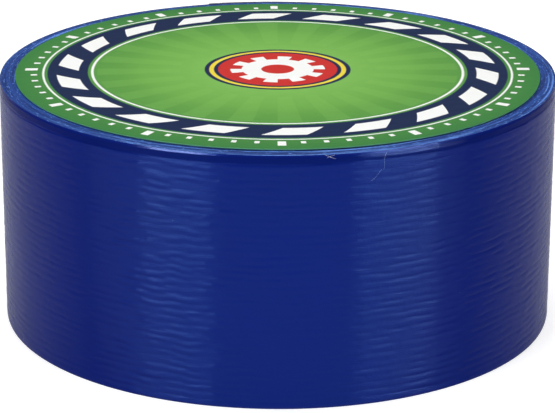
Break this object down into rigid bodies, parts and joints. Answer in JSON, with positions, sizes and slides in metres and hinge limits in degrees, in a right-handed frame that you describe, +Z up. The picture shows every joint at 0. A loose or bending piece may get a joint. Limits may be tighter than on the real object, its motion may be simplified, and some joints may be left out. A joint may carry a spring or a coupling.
{
  "type": "duct tape roll",
  "caption": "Roll of blue cloth-backed duct tape on a paper core, with a round printed card label over one end and a free tape end that peels away.",
  "frame": {"origin": "centre of the flat face that the roll lies on", "axes": "+Z up along the roll's axis, towards the label; -Y is the front, and the free end of the tape is at the back, +Y"},
  "size_m": [0.1079, 0.1082, 0.0483],
  "materials": {
    "core_paper": "matte",
    "core_board": "matte",
    "wound_tape": "satin",
    "blue_film": "satin",
    "scrim": "matte",
    "adhesive": "satin",
    "label_card": "matte",
    "label_print": "gloss",
    "label_glue": "satin"
  },
  "bodies": {
    "roll": {"core_inner_liner": "core_paper", "core_body_ply_1": "core_board", "core_body_ply_2": "core_board", "core_outer_liner": "core_paper", "tape_wound_pack": "wound_tape", "last_turns_film": "blue_film", "last_turns_scrim": "scrim", "last_turns_adhesive": "adhesive"},
    "tape_tail": {"tail_film": "blue_film", "tail_warp_yarns": "scrim", "tail_weft_yarns": "scrim", "tail_adhesive": "adhesive"},
    "label": {"label_card": "label_card", "label_print": "label_print", "label_glue_spots": "label_glue"}
  },
  "joints": [
    {"name": "tail_peel", "type": "hinge", "parent": "roll", "child": "tape_tail", "pos_m": [0.01474, 0.05212, 0], "axis": [0, 0, -1], "range_deg": [0, 150]},
    {"name": "label_lift", "type": "slide", "parent": "roll", "child": "label", "axis": [0, 0, 1], "range_m": [0, 0.05]}
  ]
}
